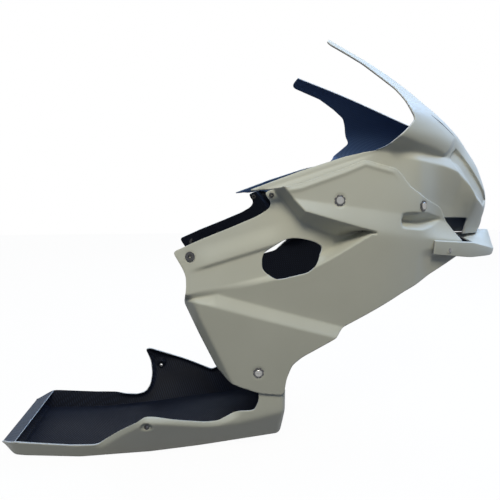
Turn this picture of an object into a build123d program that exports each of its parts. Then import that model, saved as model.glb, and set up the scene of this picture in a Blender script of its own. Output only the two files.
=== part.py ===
"""Race fairing for a sport motorcycle: nose, two side panels, belly pan and ram-air intake.

Millimetres. +X is the nose, +Y the rider's left and +Z up. The origin lies on the centre plane,
midway between the two bolt holes of the belly pan.
"""
import math
import os

from build123d import *

# Laminate and joints
WALL = 3.0               # glass laminate thickness
LAP_GAP = 1.8            # space between two laminates that overlap

# Side panels
BELT_HALF_WIDTH = 207.0  # half-width along the belt ridge
BELT_SLOPE = 0.29        # fall of the belt ridge towards the nose
TOP_HALF_WIDTH = 187.0   # half-width of the nose skin under the top of a panel
SIDE_DRAFT = 0.11        # how the flank leans in below the belt
LEDGE_DEPTH = 16.0       # step of the long ledge
ROOF_HEIGHT = 24.0       # undercut wall below the belt

# Nose
NOSE_LEVEL = 870.0       # foremost point of the nose skin
NOSE_BLUNTNESS = 115.0   # plan curve of the nose, half-width squared per mm of length
SCREEN_FOOT_Z = 650.0    # lowest point of the windscreen opening
SCREEN_CURVE = 0.0095    # how fast the opening widens upwards
NOSE_FOOT_Z = 402.0      # bottom of the posts beside the mouth
EYE_DEPTH = 7.0          # sunken blank headlight
MOUTH_HALF_WIDTH = 36.0  # ram-air mouth
MOUTH_LOW_Z = 410.0
MOUTH_HIGH_Z = 442.0

# Chin under the intake
CHIN_TIP_X = 902.0
CHIN_BLUNTNESS = 110.0
CHIN_FOLD = 0.8          # share of the width that the lip folds in
CHIN_PAD_T = 7.4         # pad on the side panel under each chin rivet

# Belly pan
BELLY_FRONT_X = 307.0
BELLY_TAIL_X = -330.0
RAMP_X = -293.0          # fold where the tail ramp starts
RAMP_Z = -42.0
KNUCKLE_Z = -54.0
BELLY_FACE_Y = 170.0     # flat round each belly bolt
BOSS_R = 12.0
BOSS_DEPTH = 11.0

# Fasteners
STUD_R = 3.2
HEAD_R = 8.0
WASHER_R = 12.0
WASHER_T = 1.2
PAD_R = 15.0
SEAT = 1.0               # depth of the flat under a washer
MEET = 5.4               # depth where a panel boss meets the pad behind it
PAD_T = 3.0
PLATE_T = 1.0
RIVET_R = 1.6
RIVET_PITCH = 11.0
BOLT_R = 4.2             # clearance for the belly bolts
BUSH_R = 5.6
REAR_BORE_R = 3.1
REAR_SLEEVE_R = 4.2
REAR_NECK_R = 7.0
REAR_FLANGE_R = 10.0
TAB_BORE_R = 2.2
TAB_SLEEVE_R = 2.9
TAB_NECK_R = 4.0
TAB_FLANGE_R = 5.6
BRACKET_R = 3.2

# Places, (x, z) in the side view
STUD_UPPER = (411.0, 486.0)
STUD_FRONT = (608.0, 474.0)
STUD_LOWER = (243.0, 112.0)
REAR_EYE = (99.0, 369.0)
TAB_EYE = (274.0, 497.0)
CHIN_EYE = (690.0, 372.0)
BRACKET_EYE = (649.0, 658.0)


def hinge(d, r):
    return 0.5 * (d + math.sqrt(d * d + r * r))


def ease(t):
    t = min(1.0, max(0.0, t))
    return t * t * (3.0 - 2.0 * t)


def softer(a, b, r):
    return 0.5 * (a + b - math.sqrt((a - b) ** 2 + r * r))


def along(table, v):
    """Straight-line reading of a short (v, value) list."""
    if v <= table[0][0]:
        return table[0][1]
    for (v0, a), (v1, b) in zip(table, table[1:]):
        if v <= v1:
            return a + (b - a) * (v - v0) / (v1 - v0)
    return table[-1][1]


# Shape of the skins, as half-widths over the side view

def nose_tip(z):
    drop = [(395, 20), (440, 7), (470, 1), (495, 1), (516, 7), (540, 18), (575, 34), (610, 65),
            (657, 118), (704, 183), (744, 234), (779, 291), (814, 361), (835, 405)]
    return NOSE_LEVEL - along(drop, z)


def nose_low(x, z):
    """Flank of the nose below the crease that runs back from the headlight."""
    bow = math.sqrt(NOSE_BLUNTNESS * max(0.0, nose_tip(z) - x))
    y = softer(bow, TOP_HALF_WIDTH - 0.06 * (z - 500.0), 14.0)
    crease = 582.0 - 0.678 * (x - 681.0)
    return y - 0.15 * hinge(crease - z, 8.0) * ease((x - 590.0) / 90.0) * ease((bow - 20.0) / 60.0)


def nose_half(x, z):
    high = [(578, 115), (600, 140), (620, 170), (655, 198), (683, 218), (704, 212), (744, 186), (814, 190)]
    y_high = math.sqrt(along(high, z) * max(0.0, nose_tip(z) - x))
    y_low = nose_low(x, z)
    if x < 500.0:
        shoulder = 506.0 + 0.367 * (x - 285.0)
        y_low -= 0.8 * hinge(z - shoulder, 4.0) * ease((500.0 - x) / 60.0)
    valley = 590.0 - 0.04 * (x - 500.0)
    ridge = max(valley + 4.0, 616.0 - 0.17 * (x - 526.0))
    return y_low + (y_high - y_low) * ease((z - valley) / (ridge - valley))


def belt_z(x):
    return 468.0 - BELT_SLOPE * (x - 318.0) + 0.18 * hinge(x - 490.0, 30.0)


def belt_half(x):
    y = softer(math.sqrt(125.0 * max(1.0, NOSE_LEVEL - 4.0 - x)), BELT_HALF_WIDTH, 16.0)
    return y - 16.0 * (max(0.0, 400.0 - x) / 300.0) ** 2


def flank(x, z):
    """Panel below the belt, without the ledge."""
    return belt_half(x) + SIDE_DRAFT * (z - belt_z(x))


def recess(x, z):
    """Inner layer: rear arm, floor of the vent recess and the tab under the top strip."""
    return 215.5 + 0.0863 * x - 0.1867 * z


def recess_foot(x):
    rise = 334.0 + 0.22 * (x - 348.0) + 0.40 * hinge(x - 345.0, 30.0)
    return min(rise, belt_z(x) - 6.0)


def panel_top(x, z):
    return nose_low(x, z) + WALL + LAP_GAP


def panel_section(x):
    """Outer line of the right panel at one station, from the bottom up, as (half-width, z)."""
    foot = recess_foot(x)
    ledge_top = min(288.0 - 0.29 * (x - 160.0), foot - 3.0)
    ledge_low = min(279.0 - 0.285 * (x - 98.0), foot - 6.0)
    step = LEDGE_DEPTH * ease((x - 80.0) / 40.0)
    bevel = 277.0 - 2.244 * (x - 102.0)
    bend = min(max(bevel, 26.0), ledge_low - 4.0)
    roof = belt_z(x) if x >= 318.0 else 468.0 + 1.14 * (318.0 - x)
    room = roof - foot
    deep = 1.0 if x < 480.0 else 0.0
    low_in = foot + min(12.0, 0.25 * room)
    wall = ROOF_HEIGHT if x >= 318.0 else ROOF_HEIGHT / 3.0
    roof_in = roof - min(wall, 0.45 * room)
    mid = 0.5 * (low_in + roof_in)
    if x < 318.0:
        mid = min(mid, 345.0 + 0.30 * (x - 109.0))
    fold = max(491.0 - 0.137 * (x - 304.0), roof + 6.0)
    top = max(606.0, fold + 10.0)

    def inner(z, lift=0.0):
        return flank(x, z) + (recess(x, z) + lift - flank(x, z)) * deep

    ridge_lift = 4.0 * ease((x - 70.0) / 50.0) * ease((330.0 - x) / 60.0)
    return [
        (flank(x, 20.0) + step - 0.37 * max(0.0, bevel - 20.0), 20.0),
        (flank(x, bend) + step - 0.37 * max(0.0, bevel - bend), bend),
        (flank(x, ledge_low) + step, ledge_low),
        (flank(x, ledge_top), ledge_top),
        (flank(x, foot), foot),
        (inner(low_in), low_in),
        (inner(mid, ridge_lift), mid),
        (inner(roof_in), roof_in),
        (belt_half(x), roof),
        (panel_top(x, fold), fold),
        (panel_top(x, fold + 0.14 * (top - fold)), fold + 0.14 * (top - fold)),
        (panel_top(x, fold + 0.3 * (top - fold)), fold + 0.3 * (top - fold)),
        (panel_top(x, fold + 0.6 * (top - fold)), fold + 0.6 * (top - fold)),
        (panel_top(x, top), top),
    ]


def panel_half(x, z):
    table = [(zz, yy) for yy, zz in panel_section(x)]
    return along(table, z)


def chin_half(x, z):
    """Wing of the chin; above its crease the lip folds in over the front."""
    lean = 0.72 * hinge(z - 362.0, 5.0) * ease((x - 780.0) / 80.0)
    fold = CHIN_FOLD * ease((z - 366.0) / 46.0) * ease((x - 775.0) / 50.0)
    return math.sqrt(CHIN_BLUNTNESS * max(0.0, CHIN_TIP_X - lean - x)) * (1.0 - fold)


def belly_floor(x):
    line = [(-330, -54), (-304, -84), (-158, -95), (0, -91), (113, -82), (310, -67)]
    return along(line, x)


def belly_half(x, z):
    foot = along([(-330, 94), (-293, 105), (-158, 112), (0, 118), (113, 122), (310, 118)], x)
    flare = along([(-330, 0.44), (-120, 0.46), (-20, 0.64), (310, 0.64)], x)
    lap = panel_half(max(x, 205.0), max(z, 60.0)) - WALL - LAP_GAP - 0.6
    limit = lap + (184.0 - lap) * ease((205.0 - x) / 145.0)
    return softer(foot + flare * (z - belly_floor(x)), limit, 5.0)


# Solids

def thick_line(points, depth):
    """Closed polygon between a line of (u, v) points and its copy moved to the right of travel."""
    back = []
    for i, (u, v) in enumerate(points):
        u0, v0 = points[max(0, i - 1)]
        u1, v1 = points[min(len(points) - 1, i + 1)]
        a = (u - u0, v - v0) if i else (u1 - u, v1 - v)
        b = (u1 - u, v1 - v) if i < len(points) - 1 else a
        la = math.hypot(*a) or 1.0
        lb = math.hypot(*b) or 1.0
        n = (a[1] / la + b[1] / lb, -a[0] / la - b[0] / lb)
        size = math.hypot(*n) or 1.0
        reach = min(1.5, 2.0 / size) * depth[i]
        back.append((u + n[0] / size * reach, v + n[1] / size * reach))
    return list(points) + back[::-1]


def through(rows):
    """Ruled solid through a row of closed polygons."""
    return Solid.make_loft([Wire.make_polygon(row, close=True) for row in rows], ruled=True)


def side_prism(outline, y0, y1):
    """Outline in the side view, taken from y0 to y1."""
    face = make_face(Polyline(*[(x, y1, z) for x, z in outline], close=True))
    return extrude(face, amount=y1 - y0, dir=(0, -1, 0))


def rod(plane, r, d0, d1):
    """Cylinder about a fastener's axis between two depths below the skin."""
    start = plane.offset(-d1)
    return start * Cylinder(r, d1 - d0, align=(Align.CENTER, Align.CENTER, Align.MIN))


def skin_plane(half, x, z):
    """Plane on the right-hand skin, its z axis pointing out."""
    step = 6.0
    dx = (half(x + step, z) - half(x - step, z)) / (2.0 * step)
    dz = (half(x, z + step) - half(x, z - step)) / (2.0 * step)
    return Plane(origin=(x, -half(x, z), z), x_dir=(1.0, -dx, 0.0), z_dir=(-dx, -1.0, -dz))


def save(shape, name):
    shape.label = name
    export_step(shape, "parts/" + name + ".step")


os.makedirs("parts", exist_ok=True)

# Side panel, right; the left one is its mirror image
stations = [58, 84, 110, 160, 205, 245, 282, 300, 318, 350, 385, 420, 450, 479, 490, 530, 570, 592, 612,
            632, 650, 670, 690, 720, 750]
rows = []
for x in stations:
    line = panel_section(x)
    closed = thick_line([(-y, z) for y, z in line], [WALL] * len(line))
    rows.append([(x, y, z) for y, z in closed])
panel_outline = [
    (63, 378), (122, 404), (183, 428), (241, 452), (268, 468), (274, 482), (259, 503), (286, 513),
    (326, 520), (421, 553), (465, 571), (537, 553), (571, 515), (616, 489), (670, 472), (738, 392),
    (744, 357), (675, 325), (569, 277), (426, 206), (411, 189), (337, 147), (316, 128), (305, 96),
    (300, 56), (246, 62), (208, 76), (180, 88), (152, 121), (84, 267), (90, 300), (90, 327), (83, 344),
]
panel = through(rows) & side_prism(panel_outline, -300.0, -20.0)
vent = [(251, 373), (250, 339), (276, 321), (291, 321), (349, 335), (371, 360), (387, 386), (365, 399),
        (328, 407), (304, 405), (285, 395)]
panel -= side_prism(vent, -300.0, -20.0)

# Nose: levels of a U-shaped plan, trimmed to the side view and opened for the windscreen
levels = [392, 420, 446, 470, 495, 520, 550, 575, 588, 600, 616, 640, 660, 690, 720, 750, 785, 822]
spread = 11
eye = [(688, 580), (730, 609), (841, 512), (833, 479), (768, 542)]
eye_rim = [(680, 579), (729, 615), (848, 513), (837, 471), (764, 537)]
inside = {1.0: [], EYE_DEPTH: [], EYE_DEPTH + WALL: []}
rows = []
for z in levels:
    rear = 200.0 if z <= 588 else 470.0 - 0.5 * (z - 600.0)
    length = nose_tip(z) - rear
    rake = (nose_tip(z + 5.0) - nose_tip(z - 5.0)) / 10.0
    line = []
    for i in range(-spread, spread + 1):
        s = i / spread
        x = nose_tip(z) - length * s * s
        line.append((x, math.copysign(nose_half(x, z), s) if i else 0.0))
    depth = []
    for i in range(len(line)):
        x0, y0 = line[max(0, i - 1)]
        x1, y1 = line[min(len(line) - 1, i + 1)]
        nx = abs(y1 - y0) / math.hypot(x1 - x0, y1 - y0)
        depth.append(WALL * math.sqrt(1.0 + (rake * nx) ** 2))
    points = [(-x, y) for x, y in line]
    for share, kept in inside.items():
        back = thick_line(points, [d * share / WALL for d in depth])[:len(points) - 1:-1]
        kept.append([(-x, y, z) for x, y in back])
    closed = thick_line(points, depth)
    rows.append([(-x, y, z) for x, y in closed])
nose_outline = [
    (219, 506), (327, 546), (424, 577), (468, 587), (501, 591), (518, 603), (530, 618), (553, 639),
    (569, 655), (558, 676), (549, 702), (538, 722), (507, 745), (465, 772), (392, 803), (387, 811),
    (400, 822), (920, 822), (920, NOSE_FOOT_Z), (778, NOSE_FOOT_Z), (775, 443), (692, 446), (640, 458), (590, 455),
    (440, 460), (388, 460), (380, 508), (324, 507), (303, 514), (262, 509),
]
nose = through(rows) & side_prism(nose_outline, -300.0, 300.0)
filled = {share: through(kept) for share, kept in inside.items()}
nose += (filled[1.0] - filled[EYE_DEPTH + WALL]) & side_prism(eye_rim, -300.0, 300.0)
nose -= side_prism(eye, -300.0, 300.0) - filled[EYE_DEPTH]
arch = [(0.0, y, SCREEN_FOOT_Z + SCREEN_CURVE * y * y) for y in range(-150, 151, 15)]
arch += [(0.0, 150.0, 950.0), (0.0, -150.0, 950.0)]
nose -= extrude(make_face(Polyline(*arch, close=True)), amount=1000.0, dir=(1, 0, 0))
mouth_h = MOUTH_HIGH_Z - MOUTH_LOW_Z
mouth_plane = Plane(origin=(700, 0, MOUTH_LOW_Z + mouth_h / 2), x_dir=(0, 1, 0), z_dir=(1, 0, 0))
nose -= extrude(mouth_plane * RectangleRounded(2 * MOUTH_HALF_WIDTH, mouth_h, 8.0), amount=300.0)

# Ram-air duct behind the mouth, cut to bear on the inside of the nose
duct_plane = mouth_plane.offset(15.0)
duct_out = RectangleRounded(2 * MOUTH_HALF_WIDTH + 10.0, mouth_h + 10.0, 10.0)
duct_in = RectangleRounded(2 * MOUTH_HALF_WIDTH + 4.0, mouth_h + 4.0, 7.0)
duct = extrude(duct_plane * (duct_out - duct_in), amount=150.0)
duct -= nose
duct = duct.solids().sort_by(Axis.X)[0]

# Chin: lower lip of the intake with a wing along each side panel
rows = []
for z in [344, 352, 362, 370, 378, 386, 394, 402, 414]:
    tip = CHIN_TIP_X - 0.72 * hinge(z - 362.0, 5.0)
    line = []
    for i in range(-12, 13):
        s = i / 12.0
        x = tip - (tip - 636.0) * s * s
        line.append((x, math.copysign(chin_half(x, z), s) if i else 0.0))
    depth = [WALL * (1.15 + 0.25 * ease((x - 740.0) / 40.0)) for x, y in line]
    closed = thick_line([(-x, y) for x, y in line], depth)
    rows.append([(-x, y, z) for x, y in closed])
chin_outline = [(642, 396), (769, 385), (800, 397), (850, NOSE_FOOT_Z - 3.0), (866, 408), (920, 408),
                (920, 352), (864, 347), (766, 350), (652, 364)]
chin = through(rows) & side_prism(chin_outline, -300.0, 300.0)

# Belly pan: U sections along the pan, with a different rim on each side
rows = []
for x in [-330, -317, -304, -293, -240, -158, -100, -50, 0, 60, 113, 160, 205, 246, 280, BELLY_FRONT_X]:
    floor = belly_floor(x)
    wall_z = [142.0, 96.0, 60.0, 36.0, 12.0, -14.0, 0.5 * (floor + 5.0 - 14.0), floor + 5.0]
    half = [(belly_half(x, z), z) for z in wall_z]
    half += [(half[-1][0] - 7.0, floor), (half[-1][0] - 50.0, floor - 0.5)]
    line = [(-y, z) for y, z in half] + [(y, z) for y, z in half[::-1]]
    closed = thick_line([(-y, z) for y, z in line], [WALL] * len(line))
    rows.append([(x, -y, z) for y, z in closed])
tub = through(rows)
upstand = [(241, 31), (246, 46), (244, 68), (214, 86), (212, 138), (285, 138), (300, 112), (304, 58),
           (320, 58), (320, -140), (-345, -140), (-345, -54)]
right_rim = [(-330, -54), (-293, -42), (-178, -56), (-114, -59), (-59, -14), (-2, 27), (19, 25), (72, 12),
             (125, -1), (154, -3), (202, 17), (235, 19)]
left_rim = [(-330, -54), (-293, -42), (-178, -56), (-100, -62), (-64, -66), (-42, -62), (-30, -46),
            (-26, -20), (-31, 10), (-46, 46), (-33, 50), (55, 18), (150, -16), (202, 6), (235, 17)]
belly = tub & (side_prism(right_rim + upstand, -300.0, 0.0) + side_prism(left_rim + upstand, 0.0, 300.0))
count = len(rows[-1]) // 2
middle = [(0.5 * (p[1] + q[1]), 0.5 * (p[2] + q[2])) for p, q in zip(rows[-1][:count], rows[-1][:count - 1:-1])]
front_wall = make_face(Polyline(*[(BELLY_FRONT_X - 1.0, y, z) for y, z in middle if z <= 61.0], close=True))
belly += extrude(front_wall, amount=WALL, dir=(-1, 0, 0))
ramp_half = belly_half(RAMP_X, RAMP_Z) - 1.0
knuckle_half = belly_half(BELLY_TAIL_X, KNUCKLE_Z) - 1.0
ramp_rows = []
for x, y, z in [(RAMP_X, ramp_half, RAMP_Z), (BELLY_TAIL_X, knuckle_half, KNUCKLE_Z)]:
    ramp_rows.append([(x, -y, z - WALL), (x, y, z - WALL), (x, y, z), (x, -y, z)])
belly += through(ramp_rows)

# Quarter-turn joints: boss on the panel, pad behind it, and the hardware stack
stud_planes = [skin_plane(panel_half, *spot) for spot in (STUD_UPPER, STUD_FRONT, STUD_LOWER)]
studs = []
washers = []
plates = []
rivets = []
for plane in stud_planes:
    panel += rod(plane, PAD_R, SEAT + 0.5, MEET)
    panel -= rod(plane, PAD_R - 1.5, -20.0, SEAT)
    panel -= rod(plane, PAD_R + 8.0, MEET, MEET + 12.0)
    panel -= rod(plane, STUD_R + 0.6, -20.0, 30.0)
    pad = rod(plane, PAD_R, MEET, MEET + PAD_T) - rod(plane, STUD_R + 0.6, -20.0, 30.0)
    clear = rod(plane, PAD_R + 1.0, -10.0, MEET) + rod(plane, PAD_R + 5.0, MEET + PAD_T, MEET + 25.0)
    drill = rod(plane, STUD_R + 0.6, -20.0, 30.0)
    for side in (-RIVET_PITCH, RIVET_PITCH):
        spot = Plane(origin=plane.origin + plane.x_dir * side, x_dir=plane.x_dir, z_dir=plane.z_dir)
        drill += rod(spot, RIVET_R, MEET - 1.0, MEET + PAD_T + 5.0)
        shank = rod(spot, RIVET_R, MEET + 0.3, MEET + PAD_T + PLATE_T)
        rivets.append(shank + rod(spot, 3.0, MEET + PAD_T + PLATE_T, MEET + PAD_T + PLATE_T + 1.1))
    if plane.origin.Z > 300.0:
        nose = nose - clear - mirror(clear, about=Plane.XZ) + pad + mirror(pad, about=Plane.XZ)
        nose = nose - drill - mirror(drill, about=Plane.XZ)
    else:
        belly = belly - clear - mirror(clear, about=Plane.XZ) + pad + mirror(pad, about=Plane.XZ)
        belly = belly - drill - mirror(drill, about=Plane.XZ)
    washer = rod(plane, WASHER_R, SEAT - WASHER_T, SEAT) - rod(plane, STUD_R + 0.6, -20.0, 30.0)
    for k in range(8):
        turn = 2.0 * math.pi * k / 8.0
        rim = plane.origin + (plane.x_dir * math.cos(turn) + plane.y_dir * math.sin(turn)) * (WASHER_R + 0.6)
        washer -= rod(Plane(origin=rim, z_dir=plane.z_dir), 2.2, -20.0, 20.0)
    washers.append(washer)
    head = rod(plane, HEAD_R, SEAT - WASHER_T - 2.4, SEAT - WASHER_T)
    crown = head.faces().sort_by(Axis(plane.origin, plane.z_dir))[-1]
    head = chamfer(crown.edges(), 0.9)
    slot_plane = plane.offset(WASHER_T + 2.4 - SEAT)
    slot = slot_plane * Box(2 * HEAD_R - 5.0, 1.8, 1.6)
    stud = head - slot + rod(plane, STUD_R, SEAT - WASHER_T, MEET + PAD_T + 8.0)
    cross = Plane(origin=plane.offset(-(MEET + PAD_T + 5.0)).origin, x_dir=plane.z_dir, z_dir=plane.x_dir)
    stud += cross * Cylinder(1.2, 2 * STUD_R + 5.0)
    studs.append(stud)
    base = plane.offset(-(MEET + PAD_T + PLATE_T)) * Box(
        32.0, 16.0, PLATE_T, align=(Align.CENTER, Align.CENTER, Align.MIN))
    plate = base - rod(plane, STUD_R + 1.6, -20.0, 40.0)
    for side in (-RIVET_PITCH, RIVET_PITCH):
        spot = Plane(origin=plane.origin + plane.x_dir * side, x_dir=plane.x_dir, z_dir=plane.z_dir)
        plate -= rod(spot, RIVET_R, -20.0, 40.0)
    plates.append(plate)

# Rubber eyes with steel sleeves at the rear arms and the upper tabs
rubber = {}
sleeves = {}
for key, spot, bore, tube, neck, flange in [
        ("rear", REAR_EYE, REAR_BORE_R, REAR_SLEEVE_R, REAR_NECK_R, REAR_FLANGE_R),
        ("tab", TAB_EYE, TAB_BORE_R, TAB_SLEEVE_R, TAB_NECK_R, TAB_FLANGE_R)]:
    plane = skin_plane(panel_half, *spot)
    panel += rod(plane, flange + 2.0, 0.8, 0.8 + WALL)
    panel -= rod(plane, flange + 0.6, -20.0, 0.8) + rod(plane, flange + 1.5, 0.8 + WALL, 20.0)
    panel -= rod(plane, neck, -20.0, 20.0)
    ring = rod(plane, flange, -1.2, 0.8) + rod(plane, neck, 0.8, 0.8 + WALL)
    ring += rod(plane, flange, 0.8 + WALL, 2.8 + WALL)
    rubber[key] = ring - rod(plane, tube, -20.0, 20.0)
    sleeves[key] = rod(plane, tube, -1.8, 3.4 + WALL) - rod(plane, bore, -20.0, 20.0)

# Bolt bosses of the belly pan, with a steel bush in each
bolt = Plane(origin=(0, -BELLY_FACE_Y, 0), x_dir=(1, 0, 0), z_dir=(0, -1, 0))
bush = rod(bolt, BUSH_R, -0.4, BOSS_DEPTH + 0.6) - rod(bolt, BOLT_R, -5.0, 30.0)
for flip in (False, True):
    boss = rod(bolt, BOSS_R, 0.0, BOSS_DEPTH)
    cut = rod(bolt, BOSS_R - 1.0, -40.0, 0.0) + rod(bolt, BUSH_R, -40.0, 40.0)
    cut += rod(bolt, BOSS_R + 0.5, BOSS_DEPTH, BOSS_DEPTH + 30.0)
    if flip:
        boss = mirror(boss, about=Plane.XZ)
        cut = mirror(cut, about=Plane.XZ)
    belly = belly + boss - cut

# Chin rivets, one on each wing, drawn down on a pad of the side panel
chin_plane = skin_plane(chin_half, *CHIN_EYE)
chin_meet = WALL + 0.8
chin_boss = rod(chin_plane, 8.0, 1.2, chin_meet)
chin_trim = rod(chin_plane, 6.5, -20.0, 0.6) + rod(chin_plane, 9.0, chin_meet, chin_meet + 2.0)
chin_hole = rod(chin_plane, 2.4, -20.0, 30.0)
panel -= rod(chin_plane, 9.5, -5.0, chin_meet)
panel += rod(chin_plane, 9.5, chin_meet, chin_meet + CHIN_PAD_T) - rod(chin_plane, 2.4, -20.0, 30.0)
panel -= chin_hole + rod(chin_plane, 11.0, chin_meet + CHIN_PAD_T, chin_meet + 20.0)
chin = chin + chin_boss + mirror(chin_boss, about=Plane.XZ)
chin = chin - chin_trim - mirror(chin_trim, about=Plane.XZ) - chin_hole - mirror(chin_hole, about=Plane.XZ)
chin_rivet = rod(chin_plane, 2.4, 0.6, chin_meet + CHIN_PAD_T) + rod(chin_plane, 4.6, -0.8, 0.6)
chin_rivet += rod(chin_plane, 3.8, chin_meet + CHIN_PAD_T, chin_meet + 8.0)

# Holes for the fairing bracket, high on each side of the nose
bracket = skin_plane(nose_half, *BRACKET_EYE)
hole = rod(bracket, BRACKET_R, -20.0, 30.0)
nose = nose - hole - mirror(hole, about=Plane.XZ)

save(panel, "side_panel_right")
save(mirror(panel, about=Plane.XZ), "side_panel_left")
save(nose, "nose_fairing")
save(belly, "belly_pan")
save(chin, "intake_chin")
save(duct, "intake_duct")
for name, items in [("quarter_turn_studs", studs), ("rosette_washers", washers),
                    ("receptacles", plates), ("receptacle_rivets", rivets),
                    ("rear_grommets", [rubber["rear"]]), ("rear_sleeves", [sleeves["rear"]]),
                    ("tab_grommets", [rubber["tab"]]), ("tab_sleeves", [sleeves["tab"]]),
                    ("belly_bushes", [bush]), ("chin_rivets", [chin_rivet])]:
    pieces = [s for item in items for s in item.solids()]
    mirrored = [s for item in items for s in mirror(item, about=Plane.XZ).solids()]
    save(Compound(children=pieces + mirrored), name)
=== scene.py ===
"""Looks of the race fairing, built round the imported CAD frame.

The shape formulas work in millimetres, +X to the nose and +Z up; meshes are written in metres.
A value named FADE is the stretch over which a form comes in, from its first end to its second.
A value named LINE is a straight line: the place it is measured from, the value there and the slope.
"""
import math

import bpy
import numpy as np
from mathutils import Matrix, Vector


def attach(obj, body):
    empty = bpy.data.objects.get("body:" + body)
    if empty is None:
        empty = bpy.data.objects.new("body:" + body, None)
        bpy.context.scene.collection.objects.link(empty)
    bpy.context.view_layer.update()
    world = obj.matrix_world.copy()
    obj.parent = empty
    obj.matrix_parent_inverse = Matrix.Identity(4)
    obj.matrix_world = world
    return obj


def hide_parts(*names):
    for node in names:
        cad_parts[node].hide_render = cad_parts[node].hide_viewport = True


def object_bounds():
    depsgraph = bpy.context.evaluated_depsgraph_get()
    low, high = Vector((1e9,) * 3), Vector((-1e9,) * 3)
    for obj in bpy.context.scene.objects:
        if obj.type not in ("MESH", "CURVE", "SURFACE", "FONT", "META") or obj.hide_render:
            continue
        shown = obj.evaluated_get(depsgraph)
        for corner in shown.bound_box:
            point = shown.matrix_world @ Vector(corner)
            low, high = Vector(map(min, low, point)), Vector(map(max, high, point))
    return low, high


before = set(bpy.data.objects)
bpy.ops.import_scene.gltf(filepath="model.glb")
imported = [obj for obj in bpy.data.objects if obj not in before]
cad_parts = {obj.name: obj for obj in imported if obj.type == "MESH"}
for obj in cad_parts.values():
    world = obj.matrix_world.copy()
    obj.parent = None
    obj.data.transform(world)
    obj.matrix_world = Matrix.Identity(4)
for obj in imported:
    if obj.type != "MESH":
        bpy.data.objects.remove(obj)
first_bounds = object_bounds()

# Side panels: one glass-fibre moulding per flank, white gelcoat outside and dark woven cloth inside.
# Each laps over the nose and the belly pan and is held to them by three quarter-turn studs.

MM = 0.001
SIDES = (("right", -1.0), ("left", 1.0))
WALL = 3.0
LAP_GAP = 1.8
GRID = 2.5
PANEL_SPAN = (56.0, 752.0)
PANEL_OVER_BELT = (-432.0, 190.0)
PANEL_OUTLINE = [
    (63, 378), (122, 404), (183, 428), (241, 452), (268, 468), (274, 482), (259, 503), (286, 513),
    (326, 520), (421, 553), (465, 571), (537, 553), (571, 515), (616, 489), (670, 472), (738, 392),
    (744, 357), (675, 328), (569, 283), (426, 207), (411, 189), (337, 147), (316, 128), (305, 96),
    (300, 56), (246, 62), (208, 76), (180, 88), (152, 121), (84, 267), (90, 300), (90, 327), (83, 344)]
PANEL_CORNER = 9.0
VENT = [(251, 373), (250, 339), (276, 321), (291, 321), (349, 335), (371, 360), (387, 386), (365, 399),
        (328, 407), (304, 405), (285, 395)]
VENT_CORNER = 12.0


def hinge(d, r):
    """Zero below zero and d above it, with a rounded corner of size r."""
    return 0.5 * (d + np.sqrt(d * d + r * r))


def ease(t):
    """Smooth step from 0 to 1."""
    t = np.clip(t, 0.0, 1.0)
    return t * t * (3.0 - 2.0 * t)


def fade(v, stretch):
    """Smooth step that is 0 at the first end of a stretch and 1 at its second."""
    start, end = stretch
    return ease((v - start) / (end - start))


def slant(v, line):
    """Value of a straight line at v."""
    start, level, slope = line
    return level + slope * (v - start)


def softer(a, b, r):
    """The smaller of two values, with the corner between them rounded."""
    return 0.5 * (a + b - np.sqrt((a - b) ** 2 + r * r))


def along(table, v, blur):
    """Reading of a short (v, value) list, averaged over a window so that its corners are rounded."""
    knots, values = np.array(table, float).T
    shifts = np.linspace(-blur, blur, 7)
    return sum(np.interp(v + k, knots, values) for k in shifts) / len(shifts)


NOSE_FOREMOST = 870.0
NOSE_DROP = [(395, 20), (440, 7), (470, 1), (495, 1), (516, 7), (540, 18), (575, 34), (610, 65),
             (657, 118), (704, 183), (744, 234), (779, 291), (814, 361), (835, 405)]
NOSE_BLUNT = 115.0
NOSE_FLANK_LINE = (500.0, 187.0, -0.06)
BOW_FADE = (20.0, 80.0)
LEAN = 0.15
LEAN_LINE = (681.0, 582.0, -0.678)
LEAN_FADE = (590.0, 680.0)
CREASE = [(540, 578), (580, 573), (666, 562), (727, 546), (758, 514), (778, 490), (833, 465), (870, 455)]
STEEP = 0.36
STEEP_LOST = 0.24
STEEP_HEIGHT = 55.0
STEEP_FADE = (618.0, 728.0)


def nose_tip(z):
    """Foremost x of the nose at a height: its foremost point less a drop read from a short list."""
    return NOSE_FOREMOST - along(NOSE_DROP, z, 16.0)


def nose_low(x, z):
    """Half-width of the nose below the headlight: a parabola in plan that meets a flat flank.
    Under a crease the flank leans in, and towards the front a short steep face follows the crease."""
    bow = np.sqrt(NOSE_BLUNT * np.maximum(0.0, nose_tip(z) - x))
    y = softer(bow, slant(z, NOSE_FLANK_LINE), 14.0)
    lean = LEAN * hinge(slant(x, LEAN_LINE) - z, 8.0) * fade(x, LEAN_FADE)
    under = along(CREASE, x, 8.0) - z
    steep = STEEP * hinge(under, 5.0) - STEEP_LOST * hinge(under - STEEP_HEIGHT, 12.0)
    return y - (lean + (steep - lean) * fade(x, STEEP_FADE)) * fade(bow, BOW_FADE)


BELT_LINE = (318.0, 468.0, -0.29)
BELT_BEND = 490.0
BELT_BEND_SLOPE = 0.18
BELT_FOREMOST = 866.0
BELT_BLUNT = 125.0
BELT_HALF = 207.0
BELT_TUCK = 16.0
BELT_TUCK_FROM = 400.0
BELT_TUCK_LENGTH = 300.0


def belt_z(x):
    """Height of the belt ridge: a falling line that flattens past a bend."""
    return slant(x, BELT_LINE) + BELT_BEND_SLOPE * hinge(x - BELT_BEND, 30.0)


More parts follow.
